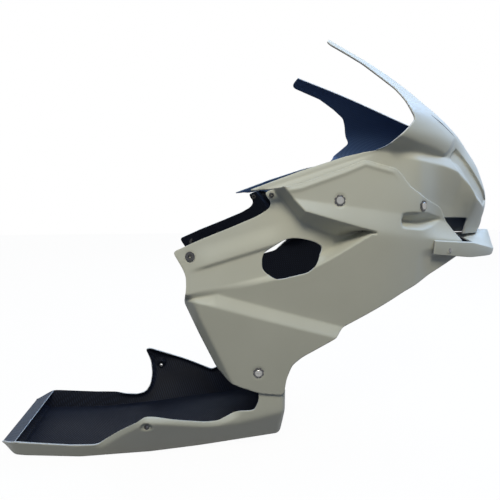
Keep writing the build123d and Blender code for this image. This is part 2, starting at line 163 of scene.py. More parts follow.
def belt_half(x):
    """Half-width at the belt: a parabola in plan up to the widest place, tucked in towards the rear."""
    y = softer(np.sqrt(BELT_BLUNT * np.maximum(1.0, BELT_FOREMOST - x)), BELT_HALF, 16.0)
    return y - BELT_TUCK * (np.maximum(0.0, BELT_TUCK_FROM - x) / BELT_TUCK_LENGTH) ** 2


def to_outline(x, z, outline):
    """Signed distance to a closed outline, negative inside, and the nearest point on it.
    Every point is dropped on every edge and the closest foot kept; ray crossings tell the inside."""
    p = np.asarray(outline, float)
    q = np.roll(p, -1, axis=0)
    e = q - p
    px = x.reshape(-1, 1)
    pz = z.reshape(-1, 1)
    t = np.clip(((px - p[:, 0]) * e[:, 0] + (pz - p[:, 1]) * e[:, 1]) / (e ** 2).sum(axis=1), 0.0, 1.0)
    fx = p[:, 0] + t * e[:, 0]
    fz = p[:, 1] + t * e[:, 1]
    d = np.hypot(px - fx, pz - fz)
    pick = (np.arange(len(d)), d.argmin(axis=1))
    rise = np.where(e[:, 1] == 0.0, 1.0, e[:, 1])
    crossed = ((p[:, 1] > pz) != (q[:, 1] > pz)) & (px < p[:, 0] + e[:, 0] * (pz - p[:, 1]) / rise)
    sign = np.where(crossed.sum(axis=1) % 2 == 1, -1.0, 1.0)
    return (sign * d[pick]).reshape(x.shape), fx[pick].reshape(x.shape), fz[pick].reshape(x.shape)


def eased(points, reach):
    """Closed outline with every corner swapped for a short parabola."""
    p = np.array(points, float)
    back = np.roll(p, 1, axis=0) - p
    fore = np.roll(p, -1, axis=0) - p
    a = p + back * np.minimum(reach / np.linalg.norm(back, axis=1), 0.45)[:, None]
    b = p + fore * np.minimum(reach / np.linalg.norm(fore, axis=1), 0.45)[:, None]
    t = np.linspace(0.0, 1.0, 5)[None, :, None]
    curve = (1 - t) ** 2 * a[:, None] + 2 * t * (1 - t) * p[:, None] + t ** 2 * b[:, None]
    return curve.reshape(-1, 2)


def grid(first, second):
    """Two arrays over a grid: the first list runs down its rows and the second across its columns."""
    return np.meshgrid(first, second, indexing="ij")


def any_corner(inside):
    """Cells of a grid that have at least one corner inside."""
    return inside[:-1, :-1] | inside[1:, :-1] | inside[:-1, 1:] | inside[1:, 1:]


SNAP = 0.35 * GRID


def trimmed(x, z, cuts):
    """Side-view grid cut to outlines: points past an edge slide on to it and empty cells are dropped."""
    keep = np.ones((x.shape[0] - 1, x.shape[1] - 1), bool)
    for outline, is_hole in cuts:
        d, fx, fz = to_outline(x, z, outline)
        inner = (-d if is_hole else d) < -SNAP
        keep &= any_corner(inner)
        x = np.where(inner, x, fx)
        z = np.where(inner, z, fz)
    return x, z, keep


FOLD_LINE = (304.0, 491.0, -0.137)
BELOW_LEAN = 0.11
LEDGE_OUT = 16.0
LEDGE_TOP_LINE = (160.0, 288.0, -0.29)
LEDGE_LOW_LINE = (98.0, 279.0, -0.285)
LEDGE_FADE = (80.0, 120.0)
BEVEL_LINE = (102.0, 277.0, -2.244)
BEVEL_LEAN = 0.37
FOOT_LINE = (348.0, 334.0, 0.22)
FOOT_BEND = 345.0
FOOT_BEND_SLOPE = 0.40
FOOT_UNDER_BELT = 6.0
LEDGE_TOP_UNDER_FOOT = 3.0
LEDGE_LOW_UNDER_FOOT = 6.0
CARRIED_UNDER_BELT = 20.0
LEAST_BAND = 6.0


def recess_foot(x):
    """Height of the foot of the vent recess: a rising line that steepens past a bend, under the belt."""
    foot = slant(x, FOOT_LINE) + FOOT_BEND_SLOPE * hinge(x - FOOT_BEND, 30.0)
    return np.minimum(foot, belt_z(x) - FOOT_UNDER_BELT)


def panel_outside(x, z):
    """Half-width of the outer skin: the smaller of what stands above and below the belt.
    Above, it leans from the belt's width to the lap on the nose. Below, it leans in slowly, with a
    ledge that stands out and a bevel along the rear edge."""
    belt = belt_z(x)
    upper = np.maximum(z, belt - CARRIED_UNDER_BELT)
    top = nose_low(x, upper) + WALL + LAP_GAP
    lean = hinge(1.0 - (upper - belt) / np.maximum(LEAST_BAND, slant(x, FOLD_LINE) - belt), 0.06)
    above = top + (belt_half(x) - top) * lean
    foot = recess_foot(x)
    ledge_top = np.minimum(slant(x, LEDGE_TOP_LINE), foot - LEDGE_TOP_UNDER_FOOT)
    ledge_low = np.minimum(slant(x, LEDGE_LOW_LINE), foot - LEDGE_LOW_UNDER_FOOT)
    ledge = softer(hinge((ledge_top - z) / (ledge_top - ledge_low), 0.05), 1.0, 0.06)
    ledge = LEDGE_OUT * fade(x, LEDGE_FADE) * ledge
    bevel = hinge(slant(x, BEVEL_LINE) - z, 5.0)
    below = belt_half(x) + BELOW_LEAN * (z - belt) + ledge - BEVEL_LEAN * bevel
    return softer(above, below, 2.5)


FLOOR_HALF = 215.5
FLOOR_PER_X = 0.0863
FLOOR_PER_Z = -0.1867
FLOOR_DROP = 27.0
FLOOR_DROP_FADE = (345.0, 430.0)
CREST_LIFT = 6.0
CREST_LINE = (109.0, 345.0, 0.30)
CREST_ABOVE = 44.0
CREST_BELOW = 11.0
CREST_REAR_FADE = (90.0, 140.0)
CREST_FRONT_FADE = (320.0, 260.0)
ROOF_LINE = (334.0, 463.4, -1.2)
ROOF_WALL = 20.0
ROOF_WALL_MIDDLE = 4.0
ROOF_MIDDLE_FADE = (316.0, 340.0)
ROOF_WALL_FRONT = 9.0
ROOF_FRONT_FADE = (340.0, 460.0)
ROOF_WALL_SHARE = 0.55
ROOF_CURVE = 1.25
FOOT_WALL = 12.0
FOOT_WALL_SHARE = 0.25
RECESS_FRONT = 490.0
RECESS_FRONT_WALL = 14.0
LEAST_ROOM = 8.0


def recess_floor(x, z):
    """Half-width of the recess floor: a plane that drops towards the front, with a low crest across it."""
    crest = slant(x, CREST_LINE)
    step = np.where(z > crest, ease(1.0 - (z - crest) / CREST_ABOVE), ease(1.0 - (crest - z) / CREST_BELOW))
    lift = CREST_LIFT * fade(x, CREST_REAR_FADE) * fade(x, CREST_FRONT_FADE) * step
    return FLOOR_HALF + FLOOR_PER_X * x + FLOOR_PER_Z * z + lift - FLOOR_DROP * fade(x, FLOOR_DROP_FADE)


def recessed(x, z, out):
    """Outer half-width taken in to the recess floor.
    The depth comes in under the roof, over the foot and behind the front end."""
    foot = recess_foot(x)
    roof = np.where(x >= ROOF_LINE[0], belt_z(x), slant(x, ROOF_LINE))
    wall = ROOF_WALL + ROOF_WALL_MIDDLE * fade(x, ROOF_MIDDLE_FADE)
    wall = wall + ROOF_WALL_FRONT * fade(x, ROOF_FRONT_FADE)
    room = np.maximum(LEAST_ROOM, roof - foot)
    wall = np.minimum(wall, ROOF_WALL_SHARE * room)
    under = 1.0 - np.clip(1.0 - (roof - z) / wall, 0.0, 1.0) ** ROOF_CURVE
    under = np.where(z < roof, under, 0.0)
    over = np.clip((z - foot) / np.minimum(FOOT_WALL, FOOT_WALL_SHARE * room), 0.0, 1.0)
    deep = np.clip((RECESS_FRONT - x) / RECESS_FRONT_WALL, 0.0, 1.0)
    return out + (recess_floor(x, z) - out) * under * over * deep


SCOOP_LIP = [(540, 458), (560, 460), (585, 461), (627, 458), (668, 449), (696, 441)]
SCOOP_FOOT = [(540, 428), (553, 427), (605, 421), (650, 430), (680, 440), (696, 441)]
SCOOP_DEPTH = 28.0
SCOOP_CURVE = 1.2
SCOOP_FALL_SHARE = 0.6
SCOOP_RISE_SHARE = 0.4
SCOOP_REAR_FADE = (547.0, 564.0)
SCOOP_FRONT_FADE = (690.0, 610.0)


def scoop(x, z):
    """Depth of the scoop: a rounded fall from its lip, met by a straight rise from its foot."""
    lip = along(SCOOP_LIP, x, 4.0)
    low = along(SCOOP_FOOT, x, 8.0)
    room = np.maximum(LEAST_ROOM, lip - low)
    fall = 1.0 - np.clip(1.0 - (lip - z) / (SCOOP_FALL_SHARE * room), 0.0, 1.0) ** SCOOP_CURVE
    dip = softer(fall, (z - low) / (SCOOP_RISE_SHARE * room), 0.1)
    return SCOOP_DEPTH * np.maximum(0.0, dip) * fade(x, SCOOP_REAR_FADE) * fade(x, SCOOP_FRONT_FADE)


BEAD = 2.0
BEAD_INSET = 10.0
BEAD_WIDTH = 4.0
EDGE_DROP = 1.6
EDGE_FADE = (7.0, 0.0)
BEAD_HEIGHT_FADE = (2.0, 12.0)
BEAD_REAR_FADE = (292.0, 312.0)
BEAD_FRONT_FADE = (550.0, 510.0)


def rolled_edge(x, z):
    """Rise of the rolled top edge: a low bell-shaped bead inside the outline and a drop at its edge."""
    inset = -to_outline(x, z, PANEL_OUTLINE)[0]
    roll = BEAD * np.exp(-((inset - BEAD_INSET) / BEAD_WIDTH) ** 2) - EDGE_DROP * fade(inset, EDGE_FADE)
    roll = roll * fade(z - slant(x, FOLD_LINE), BEAD_HEIGHT_FADE)
    return roll * fade(x, BEAD_REAR_FADE) * fade(x, BEAD_FRONT_FADE)


CHIN_TUCK = 10.0
CHIN_TUCK_HEIGHT_FADE = (382.0, 356.0)
CHIN_TUCK_FADE = (594.0, 654.0)


def panel_shape(x, z):
    """Half-width of the panel: the outer skin with recess and scoop taken out of it.
    Its lower front is tucked in for the chin, and the rolled top edge is added."""
    y = recessed(x, z, panel_outside(x, z)) - scoop(x, z)
    y = y - CHIN_TUCK * fade(z, CHIN_TUCK_HEIGHT_FADE) * fade(x, CHIN_TUCK_FADE)
    return y + rolled_edge(x, z)


SLOPE_REACH = 6.0
SEAT_RIM = 2.5


def seated(y, x, z, half, spot, seat):
    """Half-widths with a round flat of a radius and depth sunk square to the skin under a fastener.
    The skin's slope at the spot is taken from four points round it."""
    radius, depth = seat
    px = spot[0] + SLOPE_REACH * np.array([0.0, 1.0, -1.0, 0.0, 0.0])
    pz = spot[1] + SLOPE_REACH * np.array([0.0, 0.0, 0.0, 1.0, -1.0])
    here, fore, aft, up, down = half(px, pz)
    dx = (fore - aft) / (2.0 * SLOPE_REACH)
    dz = (up - down) / (2.0 * SLOPE_REACH)
    flat = here + dx * (x - spot[0]) + dz * (z - spot[1]) - depth * math.sqrt(1.0 + dx * dx + dz * dz)
    near = np.hypot(x - spot[0], z - spot[1])
    return y + (flat - y) * ease((radius + SEAT_RIM - near) / SEAT_RIM)


STUDS = [(411.0, 486.0), (608.0, 474.0), (243.0, 112.0)]
STUD_SEAT = (13.0, 1.0)
REAR_EYE = (99.0, 369.0)
REAR_EYE_SEAT = (10.4, 0.8)
TAB_EYE = (274.0, 497.0)
TAB_EYE_SEAT = (6.0, 0.8)


def panel_half(x, z):
    """Half-width of the panel with a flat seat sunk under each stud and eye."""
    y = panel_shape(x, z)
    for spot in STUDS:
        y = seated(y, x, z, panel_shape, spot, STUD_SEAT)
    y = seated(y, x, z, panel_shape, REAR_EYE, REAR_EYE_SEAT)
    return seated(y, x, z, panel_shape, TAB_EYE, TAB_EYE_SEAT)


def plug(tree, socket, value):
    """Links a socket to another node's output, or sets it to a plain value."""
    if isinstance(value, bpy.types.NodeSocket):
        tree.links.new(value, socket)
    else:
        socket.default_value = value


def fill(tree, made, **inputs):
    """Plugs values into the sockets of a node by their names."""
    for key, value in inputs.items():
        plug(tree, made.inputs[key.replace("_", " ")], value)


def node(tree, kind, **inputs):
    """New shader node with some of its sockets set or linked."""
    made = tree.nodes.new(kind)
    fill(tree, made, **inputs)
    return made


def material(name):
    """New material with its node tree and its main shader."""
    made = bpy.data.materials.new(name)
    made.use_nodes = True
    return made, made.node_tree, made.node_tree.nodes["Principled BSDF"]


def own_place(tree):
    """Coordinates of the piece itself."""
    return tree.nodes.new("ShaderNodeTexCoord").outputs["Object"]


def noise(tree, **inputs):
    """Noise over the piece's own coordinates."""
    return node(tree, "ShaderNodeTexNoise", Vector=own_place(tree), **inputs).outputs["Fac"]


def spread(tree, factor, low, high, source=(0.0, 1.0)):
    """Factor carried straight from a source range to the range from low to high."""
    made = node(tree, "ShaderNodeMapRange", Value=factor, From_Min=source[0], From_Max=source[1],
                To_Min=low, To_Max=high)
    return made.outputs["Result"]


def mixed(tree, factor, dark, light):
    """Colour between two others by a factor."""
    made = tree.nodes.new("ShaderNodeMix")
    made.data_type = "RGBA"
    for place, value in ((0, factor), (6, dark), (7, light)):
        plug(tree, made.inputs[place], value)
    return made.outputs[2]


def maths(tree, operation, first, second):
    """Result of a maths node on two sockets or numbers."""
    made = tree.nodes.new("ShaderNodeMath")
    made.operation = operation
    plug(tree, made.inputs[0], first)
    plug(tree, made.inputs[1], second)
    return made.outputs[0]


def gelcoat(name, dark, light):
    """Satin gelcoat: slow noise drifts its tone and its gloss, as they come from the mould."""
    made, tree, bsdf = material(name)
    slow = noise(tree, Scale=7.0, Detail=3.0, Roughness=0.5)
    fill(tree, bsdf, Base_Color=mixed(tree, slow, dark, light), Roughness=spread(tree, slow, 0.36, 0.50),
         Specular_IOR_Level=0.2)
    return made


def laminate(name, dark, light, relief=0.35):
    """Plain-weave cloth under resin: two crossed wave patterns multiplied, about 4 mm a tow.
    The cloth gives the tone and the relief, and slow noise drifts the gloss of the resin."""
    made, tree, bsdf = material(name)
    turned = node(tree, "ShaderNodeMapping", Vector=own_place(tree), Rotation=(0.6, 0.35, 0.8))
    tows = {"Vector": turned.outputs["Vector"], "Scale": 75.0, "Distortion": 0.6}
    warp = node(tree, "ShaderNodeTexWave", **tows)
    weft = node(tree, "ShaderNodeTexWave", **tows)
    weft.bands_direction = "Y"
    cloth = maths(tree, "MULTIPLY", warp.outputs["Fac"], weft.outputs["Fac"])
    patch = noise(tree, Scale=9.0, Detail=4.0)
    bump = node(tree, "ShaderNodeBump", Height=cloth, Strength=relief, Distance=MM)
    fill(tree, bsdf, Base_Color=mixed(tree, cloth, dark, light), Roughness=spread(tree, patch, 0.38, 0.70),
         Specular_IOR_Level=0.1, Normal=bump.outputs["Normal"])
    return made


def speckled(name, dark, light, rough, scale):
    """Dull finish whose tone follows fine noise, such as a sawn edge of resin and fibre, or rubber."""
    made, tree, bsdf = material(name)
    fine = noise(tree, Scale=scale, Detail=3.0)
    fill(tree, bsdf, Base_Color=mixed(tree, fine, dark, light), Roughness=rough)
    return made


def skin(name, x, y, z, replaced, keep=None, flip=False, thick=WALL, outer=None, inner=None):
    """Shell over a grid, or over its kept cells: the outer skin, thickened inwards with a cut rim."""
    index = np.arange(x.size).reshape(x.shape)
    quads = np.stack([index[:-1, :-1], index[1:, :-1], index[1:, 1:], index[:-1, 1:]], axis=-1)
    quads = quads.reshape(-1, 4) if keep is None else quads[keep]
    quads = quads[:, ::-1] if flip else quads
    used, flat = np.unique(quads, return_inverse=True)
    points = MM * np.stack([x.ravel(), y.ravel(), z.ravel()], axis=1)[used]
    mesh = bpy.data.meshes.new(name)
    mesh.from_pydata(points.tolist(), [], flat.reshape(-1, 4).tolist())
    mesh.polygons.foreach_set("use_smooth", np.ones(len(mesh.polygons), bool))
    for finish in (outer or WHITE, inner or WEAVE, EDGE):
        mesh.materials.append(finish)
    made = bpy.data.objects.new(name, mesh)
    bpy.context.scene.collection.objects.link(made)
    shell = made.modifiers.new("shell", "SOLIDIFY")
    shell.thickness = MM * thick
    shell.offset = -1.0
    shell.material_offset = 1
    shell.material_offset_rim = 2
    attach(made, "root")
    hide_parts(replaced)


WHITE = gelcoat("gelcoat", (0.58, 0.578, 0.522, 1.0), (0.66, 0.658, 0.602, 1.0))
WEAVE = laminate("laminate", (0.003, 0.004, 0.009, 1.0), (0.015, 0.020, 0.036, 1.0))
EDGE = speckled("cut_edge", (0.36, 0.36, 0.37, 1.0), (0.74, 0.76, 0.80, 1.0), 0.55, 420.0)
span, height = grid(np.arange(*PANEL_SPAN, GRID), np.arange(*PANEL_OVER_BELT, GRID))
cuts = [(eased(PANEL_OUTLINE, PANEL_CORNER), False), (eased(VENT, VENT_CORNER), True)]
px, pz, cells = trimmed(span, height + belt_z(span), cuts)
py = panel_half(px, pz)
for side, sign in SIDES:
    skin("panel_" + side, px, sign * py, pz, "side_panel_" + side, cells, flip=sign > 0.0)

# Nose: a single moulding with a blunt plan, two arms that hold the windscreen and a slot for ram air.
# It stands on the fairing bracket by two holes and its flanks run back under the side panels.

NOSE_OUTLINE = [
    (219, 506), (327, 546), (424, 577), (468, 587), (501, 591), (518, 603), (530, 618), (553, 639),
    (569, 655), (558, 676), (549, 702), (538, 722), (507, 745), (465, 772), (392, 803), (387, 811),
    (400, 826), (920, 836), (920, 394), (778, 394), (775, 443), (692, 446), (640, 458), (590, 455),
    (440, 460), (388, 460), (380, 508), (324, 507), (303, 514), (262, 509)]
NOSE_CORNER = 7.0
BRACKET_HOLE = (649.0, 658.0)
BRACKET_HOLE_RADIUS = 3.2
MOUTH = [(-36, 418), (-36, 434), (-28, 442), (28, 442), (36, 434), (36, 418), (28, 410), (-28, 410)]
MOUTH_CORNER = 6.0
MOUTH_SNAP = 1.0
COWL_BLUNT = [(578, 115), (600, 140), (620, 170), (655, 198), (683, 218), (704, 212), (744, 186),
              (814, 190)]
ARM_FADE = (500.0, 440.0)
SHOULDER_LINE = (285.0, 506.0, 0.367)
SHOULDER_LEAN = 0.35
GROOVE_LINE = (327.0, 533.0, 0.325)
GROOVE_DEPTH = 2.2
GROOVE_WIDTH = 2.4
RIB_OUT = 11.0
RIB_ABOVE = 24.0
RIB_BELOW = 80.0
RIB_REAR_FADE = (540.0, 600.0)
RIB_FRONT_FADE = (835.0, 765.0)
VALLEY_LINE = (500.0, 589.0, -0.02)
RIDGE_LINE = (523.0, 616.0, -0.177)
RIDGE_GAP = 4.0
RIDGE_LIFT = 46.0
RIDGE_FADE = (668.0, 718.0)
HEADLIGHT = [(687, 584), (718, 607), (749, 588), (812, 529), (856, 486), (833, 467), (778, 490),
             (752, 517), (712, 546)]
HEADLIGHT_DEPTH = 6.5
HEADLIGHT_MIDDLE = (773.0, 536.0)
HEADLIGHT_ACROSS = (0.635, 0.772)
HEADLIGHT_TURN = 14.0
HEADLIGHT_BEVEL = 9.0
HEADLIGHT_BEVEL_CHANGE = 4.0
HEADLIGHT_FADE = (0.0, 40.0)


def headlight_bevel(x, z):
    """Width of the bevel round the blank headlight: wide on its lower rear side, narrow on the other."""
    across = HEADLIGHT_ACROSS[0] * (x - HEADLIGHT_MIDDLE[0])
    across = across + HEADLIGHT_ACROSS[1] * (z - HEADLIGHT_MIDDLE[1])
    return HEADLIGHT_BEVEL - HEADLIGHT_BEVEL_CHANGE * np.clip(across / HEADLIGHT_TURN, -1.0, 1.0)


def nose_shape(x, z):
    """Half-width of the nose: the low flank blends into the upper cowl between a valley and a ridge.
    The arms lean in over a shoulder and carry a fine groove, a rib follows the crease of the flank
    up to its last stretch, and the blank headlight is sunk."""
    upper = np.sqrt(along(COWL_BLUNT, z, 14.0) * np.maximum(0.0, nose_tip(z) - x))
    shoulder = hinge(z - slant(x, SHOULDER_LINE), 4.0)
    lower = nose_low(x, z) - SHOULDER_LEAN * shoulder * fade(x, ARM_FADE)
    groove = (z - slant(x, GROOVE_LINE)) / GROOVE_WIDTH
    lower = lower - GROOVE_DEPTH * np.exp(-groove ** 2) * fade(x, ARM_FADE)
    over = z - along(CREASE[:-1], x, 6.0)
    rib = hinge(1.0 - np.where(over > 0.0, over / RIB_ABOVE, -over / RIB_BELOW), 0.06)
    lower = lower + RIB_OUT * rib * fade(x, RIB_REAR_FADE) * fade(x, RIB_FRONT_FADE)
    valley = slant(x, VALLEY_LINE)
    ridge = np.maximum(valley + RIDGE_GAP + RIDGE_LIFT * fade(x, RIDGE_FADE), slant(x, RIDGE_LINE))
    rise = (z - valley) / (ridge - valley)
    y = lower + (upper - lower) * softer(hinge(rise, 0.12), 1.0, 0.12)
    sunk = ease(-to_outline(x, z, HEADLIGHT)[0] / headlight_bevel(x, z))
    return y - HEADLIGHT_DEPTH * sunk * fade(y, HEADLIGHT_FADE)


ARM_END = 200.0
COWL_END = 370.0
COWL_END_FADE = (586.0, 606.0)


def nose_x(s, z):
    """Station of a column s at a height: a mix of square and cube, close at the tip and wider behind."""
    rear = ARM_END + (COWL_END - ARM_END) * fade(z, COWL_END_FADE)
    return nose_tip(z) - (nose_tip(z) - rear) * (0.6 * s ** 2 + 0.4 * np.abs(s) ** 3)


SCREEN_DIP = 650.0
SCREEN_RISE = 0.0095
COWL_HEIGHTS = (640.0, 832.0)
HALVINGS = 24


def cowl_top(s):
    """Height where each column meets the cut for the screen, which is a parabola across the nose.
    A span of heights is halved over and over, and the half that holds the crossing is kept."""
    low = np.full(s.shape, COWL_HEIGHTS[0])
    high = np.full(s.shape, COWL_HEIGHTS[1])
    for _ in range(HALVINGS):
        middle = 0.5 * (low + high)
        past = middle > SCREEN_DIP + SCREEN_RISE * nose_shape(nose_x(s, middle), middle) ** 2
        high = np.where(past, middle, high)
        low = np.where(past, low, middle)
    return low


def ring(spot, r):
    """Outline of a round hole: points at even turns."""
    turn = np.linspace(0.0, 2.0 * np.pi, 24, endpoint=False)
    return np.stack([spot[0] + r * np.cos(turn), spot[1] + r * np.sin(turn)], axis=1)


NOSE_COLUMNS = 361
NOSE_ROWS = 151
NOSE_BOTTOM = 402.0
column = np.linspace(-1.0, 1.0, NOSE_COLUMNS)
ws, wt = grid(column, np.linspace(0.0, 1.0, NOSE_ROWS))
wz = NOSE_BOTTOM + (cowl_top(column)[:, None] - NOSE_BOTTOM) * wt
cuts = [(eased(NOSE_OUTLINE, NOSE_CORNER), False), (ring(BRACKET_HOLE, BRACKET_HOLE_RADIUS), True)]
nx, nz, cells = trimmed(nose_x(ws, wz), wz, cuts)
ny = np.sign(ws) * nose_shape(nx, nz)
from_mouth, mouth_y, mouth_z = to_outline(ny, nz, eased(MOUTH, MOUTH_CORNER))
solid = from_mouth > MOUTH_SNAP
cells &= any_corner(solid)
ny = np.where(solid, ny, mouth_y)
nz = np.where(solid, nz, mouth_z)
nx = np.where(solid, nx, nose_tip(nz) - ny ** 2 / NOSE_BLUNT)
navy = laminate("laminate_nose", (0.052, 0.094, 0.220, 1.0), (0.078, 0.134, 0.300, 1.0), 0.08)
skin("nose", nx, ny, nz, "nose_fairing", cells, inner=navy)

# Screen slots: a short slit each side of the cowl, where the edge of the windscreen slips in.
# A near-black strip fills each slit and stands a little proud of the gelcoat: its dark tone is painted
# shade for the open slit.

SLOT = [(628, 673), (668, 656), (712, 632)]
SLOT_HALF = 1.7
SLIT_SHADE_PROUD = 0.35
SLIT_SHADE_WALL = 0.8
SLIT_SHADE_ROWS = 41
SLIT_SHADE_COLUMNS = 5
slit_shade_u, slit_shade_v = grid(np.linspace(0.0, 1.0, SLIT_SHADE_ROWS), np.linspace(-1.0, 1.0, SLIT_SHADE_COLUMNS))
slit_shade_x = SLOT[0][0] + (SLOT[-1][0] - SLOT[0][0]) * slit_shade_u
slit_shade_z = along(SLOT, slit_shade_x, 6.0) + SLOT_HALF * slit_shade_v * np.sin(np.pi * slit_shade_u) ** 0.6
slit_shade_y = nose_shape(slit_shade_x, slit_shade_z) + SLIT_SHADE_PROUD
# Near-black strip over each slit: painted shade of the open slot.
slit_shade = laminate("slit_painted_shade", (0.02, 0.022, 0.028, 1.0), (0.05, 0.055, 0.065, 1.0))
for side, sign in SIDES:
    skin("seal_" + side, slit_shade_x, sign * slit_shade_y, slit_shade_z, "nose_fairing", flip=sign > 0.0, thick=SLIT_SHADE_WALL,
         outer=slit_shade)

# Belly pan: a tub under the engine, white outside and bare weave inside, open at the top.
# It hangs on two bolts through the bosses in its walls and on the lower studs of the side panels.

RIGHT_RIM = [(-330, -54), (-293, -42), (-178, -56), (-114, -59), (-59, -14), (-2, 27), (19, 25), (72, 12),
             (125, -1), (154, -3), (202, 17), (235, 19)]
LEFT_RIM = [(-330, -54), (-293, -42), (-178, -56), (-100, -62), (-64, -66), (-42, -62), (-30, -46),
            (-26, -20), (-31, 10), (-46, 46), (-33, 50), (55, 18), (150, -16), (202, 6), (235, 17)]
UPSTAND = [(241, 31), (246, 46), (244, 68), (214, 86), (212, 138), (285, 138), (300, 112), (304, 58),
           (320, 58), (320, -140), (-345, -140), (-345, -54)]
RIM_CORNER = 8.0
RIM_STRIP = 11.0
RIM_LEAN = 0.8
RIM_REAR_FADE = (-130.0, -90.0)
RIM_FRONT_FADE = (215.0, 185.0)
KEEL = [(-330, -54), (-304, -84), (-158, -95), (0, -91), (113, -82), (310, -67)]
BELLY_FOOT = [(-330, 94), (-293, 105), (-158, 112), (0, 118), (113, 122), (310, 118)]
BELLY_FLARE = [(-330, 0.44), (-120, 0.46), (-20, 0.64), (310, 0.64)]
BELLY_HALF = 184.0
BELLY_LAP_EXTRA = 0.6
BELLY_LAP_LOW = 60.0
BELLY_LAP_FADE = (205.0, 60.0)
BELLY_STUD_SEAT = (15.0, 0.6)
BOSS = (0.0, 0.0)
BOSS_HOLE_RADIUS = 5.6
BOSS_HALF = 170.0
BOSS_FADE = (13.5, 11.0)


def belly_floor(x):
    """Height of the pan's floor at a station, read from a short list."""
    return along(KEEL, x, 6.0)


def belly_shape(x, z):
    """Half-width of the pan: a foot that flares upwards until it meets the inside of the panels."""
    foot = along(BELLY_FOOT, x, 20.0)
    flare = along(BELLY_FLARE, x, 20.0)
    panel = panel_shape(np.maximum(x, BELLY_LAP_FADE[0]), np.maximum(z, BELLY_LAP_LOW))
    lap = panel - WALL - LAP_GAP - BELLY_LAP_EXTRA
    limit = lap + (BELLY_HALF - lap) * fade(x, BELLY_LAP_FADE)
    return softer(foot + flare * (z - belly_floor(x)), limit, 5.0)


def belly_half(x, z):
    """Half-width of the pan with a flat seat under the lower stud and a flat round boss."""
    y = seated(belly_shape(x, z), x, z, belly_shape, STUDS[2], BELLY_STUD_SEAT)
    near = np.hypot(x - BOSS[0], z - BOSS[1])
    return y + (BOSS_HALF - y) * fade(near, BOSS_FADE)


BELLY_REAR = -330.0
BELLY_TOP = 146.0
FRONT_WALL = 307.0
FRONT_ROUND = 15.0
FLOOR_SHARE = 0.34
BELLY_COLUMNS = 241
BEND_STEPS = 10
CLOSING_STEPS = 25

# The rows run forward along the pan, bend round into its front wall and close to the middle.
straight = np.arange(BELLY_REAR, FRONT_WALL - FRONT_ROUND, GRID)
bend = np.linspace(0.05, 1.0, BEND_STEPS) * np.pi / 2
bend_x = FRONT_WALL - FRONT_ROUND + FRONT_ROUND * np.sin(bend)
bend_inset = FRONT_ROUND - FRONT_ROUND * np.cos(bend)
row_x = np.concatenate([straight, bend_x, np.full(CLOSING_STEPS, FRONT_WALL)])
row_inset = np.concatenate([0.0 * straight, bend_inset, np.full(CLOSING_STEPS, FRONT_ROUND)])
row_width = np.concatenate([np.ones(len(straight) + BEND_STEPS), np.linspace(0.96, 0.0, CLOSING_STEPS)])
bx, v = grid(row_x, np.linspace(-1.0, 1.0, BELLY_COLUMNS))
inset = row_inset[:, None] + 0.0 * bx
keel = belly_floor(bx) + inset
climb = np.clip((np.abs(v) - FLOOR_SHARE) / (1.0 - FLOOR_SHARE), 0.0, 1.0)
bz = keel + (BELLY_TOP - keel) * climb
right_edge = eased(RIGHT_RIM + UPSTAND, RIM_CORNER)
left_edge = eased(LEFT_RIM + UPSTAND, RIM_CORNER)
boss_hole = ring(BOSS, BOSS_HOLE_RADIUS)
right_x, right_z, right_cells = trimmed(bx, bz, [(right_edge, False), (boss_hole, True)])
left_x, left_z, left_cells = trimmed(bx, bz, [(left_edge, False), (boss_hole, True)])
wall = np.abs(v) >= FLOOR_SHARE
bx = np.where(wall, np.where(v < 0, right_x, left_x), bx)
bz = np.where(wall, np.where(v < 0, right_z, left_z), bz)
cells = np.where(0.5 * (v[:-1, :-1] + v[1:, 1:]) > 0, left_cells, right_cells)
foot_y = belly_half(bx, keel) - inset
by = np.where(wall, belly_half(bx, bz) - inset, foot_y * np.abs(v) / FLOOR_SHARE)
past_rim = np.where(v < 0, to_outline(bx, bz, right_edge)[0], to_outline(bx, bz, left_edge)[0])
strip = np.where(wall, hinge(RIM_STRIP + past_rim, 3.0), 0.0)
by = by - RIM_LEAN * strip * fade(bx, RIM_REAR_FADE) * fade(bx, RIM_FRONT_FADE)
skin("belly", bx, np.sign(v) * by * row_width[:, None], bz, "belly_pan", cells, flip=True)

# Tail ramp: a sloping flange across the rear end of the belly pan, moulded in one with the pan; it stiffens
# its open tail.
# Its outer face is white gelcoat, drawn with a dark blue-grey woven finish whose dark tone is painted
# shade.

RAMP_FOLD = (-293.0, -42.0)
RAMP_END = (-329.0, -54.0)
RAMP_CLEAR = 1.5
RAMP_WALL = 2.4
RAMP_ROWS = 14
RAMP_COLUMNS = 61
ru, rv = grid(np.linspace(0.0, 1.0, RAMP_ROWS), np.linspace(-1.0, 1.0, RAMP_COLUMNS))
rx = RAMP_FOLD[0] + (RAMP_END[0] - RAMP_FOLD[0]) * ru
rz = RAMP_FOLD[1] + (RAMP_END[1] - RAMP_FOLD[1]) * ru
ry = rv * (belly_half(rx, rz) - RAMP_CLEAR)
# Dark blue-grey woven finish for the ramp's white outer face: its tone is painted shade.
painted_shade_ramp = laminate("ramp_painted_shade", (0.045, 0.055, 0.080, 1.0), (0.105, 0.125, 0.165, 1.0))
skin("belly_ramp", rx, ry, rz, "belly_pan", thick=RAMP_WALL, flip=True, outer=painted_shade_ramp)

# Chin: the lower lip of the ram-air intake, a white glass-fibre moulding with a wing along each flank.
# A rivet through each wing holds it to the side panel.

